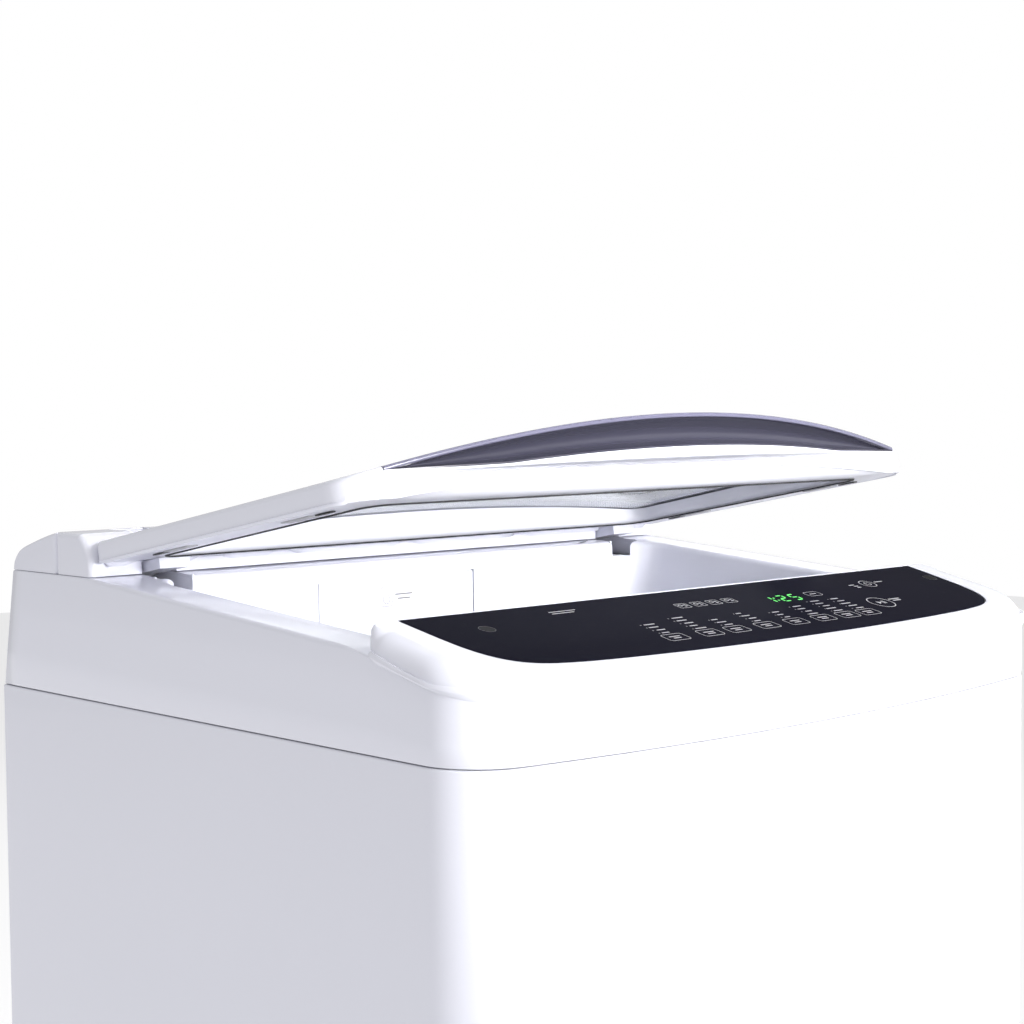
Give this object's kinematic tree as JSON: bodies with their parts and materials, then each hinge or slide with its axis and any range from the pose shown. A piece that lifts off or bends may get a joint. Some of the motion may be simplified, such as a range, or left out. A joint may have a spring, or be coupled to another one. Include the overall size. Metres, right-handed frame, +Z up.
{
  "type": "top load washing machine",
  "caption": "Top load washing machine with a hinged glass lid, a sliding detergent drawer, a suspended tub, a spinning basket and a turning pulsator.",
  "frame": {"origin": "On the floor, at the middle of the machine's footprint: the bottom centre of its bounding box.", "axes": "+Z up from the floor, +X to the machine's right as seen from the front, and the bowed front faces -Y."},
  "size_m": [0.59, 0.606, 1.0442],
  "materials": {
    "painted_steel": "smooth white enamel",
    "galvanised_steel": "galvanised sheet",
    "white_plastic": "glossy moulded white",
    "satin_white_plastic": "satin moulded white",
    "panel_glass": "gloss black overlay",
    "lid_glass": "clear tempered glass",
    "smoke_plastic": "smoky tinted gloss",
    "rubber": "black rubber",
    "grey_plastic": "grey moulded",
    "blue_plastic": "pale blue moulded",
    "stainless": "stainless sheet",
    "cast_alloy": "cast alloy",
    "winding": "enamelled copper on laminated steel",
    "circuit_board": "green board",
    "display_plastic": "black moulded"
  },
  "bodies": {
    "cabinet": {"cabinet_wrap": "painted_steel", "back_panel": "galvanised_steel", "base_frame": "grey_plastic", "top_cover": "white_plastic", "rear_cover": "white_plastic", "hinge_cover": "white_plastic", "console_housing": "white_plastic", "control_panel": "panel_glass", "display_module": "display_plastic", "control_board": "circuit_board", "dispenser_housing": "satin_white_plastic", "inlet_valve": "satin_white_plastic", "pressure_sensor": "satin_white_plastic", "cord_gland": "rubber", "drain_outlet": "grey_plastic", "lid_lock": "grey_plastic", "hinge_pins": "stainless", "lid_dampers": "grey_plastic", "back_screws": "stainless", "foot_lock_nuts": "galvanised_steel", "rod_brackets": "galvanised_steel", "suspension_rods": "stainless", "suspension_springs": "stainless", "drain_hose": "grey_plastic"},
    "foot_front_left_body": {"foot_front_left": "rubber"},
    "foot_front_right_body": {"foot_front_right": "rubber"},
    "foot_rear_left_body": {"foot_rear_left": "rubber"},
    "foot_rear_right_body": {"foot_rear_right": "rubber"},
    "lid": {"lid_outer_frame": "white_plastic", "lid_inner_frame": "satin_white_plastic", "lid_glass": "lid_glass", "lid_front_trim": "smoke_plastic", "lid_gasket": "rubber", "lid_bumpers": "rubber", "lid_hinge_left": "galvanised_steel", "lid_hinge_right": "galvanised_steel"},
    "drawer": {"detergent_drawer": "blue_plastic", "drawer_front": "white_plastic", "softener_cap": "satin_white_plastic"},
    "tub": {"outer_tub": "satin_white_plastic", "tub_cover": "satin_white_plastic", "tub_seal": "rubber", "drive_plate": "galvanised_steel", "bearing_housing": "cast_alloy", "bearing_upper": "stainless", "bearing_lower": "stainless", "motor_stator": "winding", "drain_pump": "grey_plastic", "rod_bushes": "grey_plastic"},
    "basket_body": {"basket": "stainless", "basket_base": "grey_plastic", "basket_hub": "galvanised_steel", "balance_ring": "satin_white_plastic", "lint_filters": "satin_white_plastic", "spin_shaft": "stainless"},
    "pulsator_body": {"pulsator": "satin_white_plastic", "pulsator_screw": "stainless", "wash_shaft": "stainless", "motor_rotor": "galvanised_steel", "rotor_nut": "stainless"}
  },
  "joints": [
    {"name": "lid_hinge", "type": "hinge", "parent": "cabinet", "child": "lid", "pos_m": [0, 0.16, 0.932], "axis": [-1, 0, 0], "range_deg": [-15, 78]},
    {"name": "drawer_slide", "type": "slide", "parent": "cabinet", "child": "drawer", "axis": [0, -1, 0], "range_m": [0, 0.105]},
    {"name": "tub_bounce", "type": "slide", "parent": "cabinet", "child": "tub", "axis": [0, 0, 1], "range_m": [-0.02, 0.01], "stiffness_N_per_m": 16000, "springref_m": 0.02296, "deforming": ["suspension_springs", "drain_hose"]},
    {"name": "basket_spin", "type": "hinge", "parent": "tub", "child": "basket_body", "pos_m": [0, -0.023, 0.5], "axis": [0, 0, 1], "continuous": true},
    {"name": "pulsator_spin", "type": "hinge", "parent": "tub", "child": "pulsator_body", "pos_m": [0, -0.023, 0.3], "axis": [0, 0, 1], "continuous": true},
    {"name": "foot_front_left_thread", "type": "slide", "parent": "cabinet", "child": "foot_front_left_body", "axis": [0, 0, -1], "range_m": [0, 0.015]},
    {"name": "foot_front_right_thread", "type": "slide", "parent": "cabinet", "child": "foot_front_right_body", "axis": [0, 0, -1], "range_m": [0, 0.015]},
    {"name": "foot_rear_left_thread", "type": "slide", "parent": "cabinet", "child": "foot_rear_left_body", "axis": [0, 0, -1], "range_m": [0, 0.015]},
    {"name": "foot_rear_right_thread", "type": "slide", "parent": "cabinet", "child": "foot_rear_right_body", "axis": [0, 0, -1], "range_m": [0, 0.015]}
  ]
}
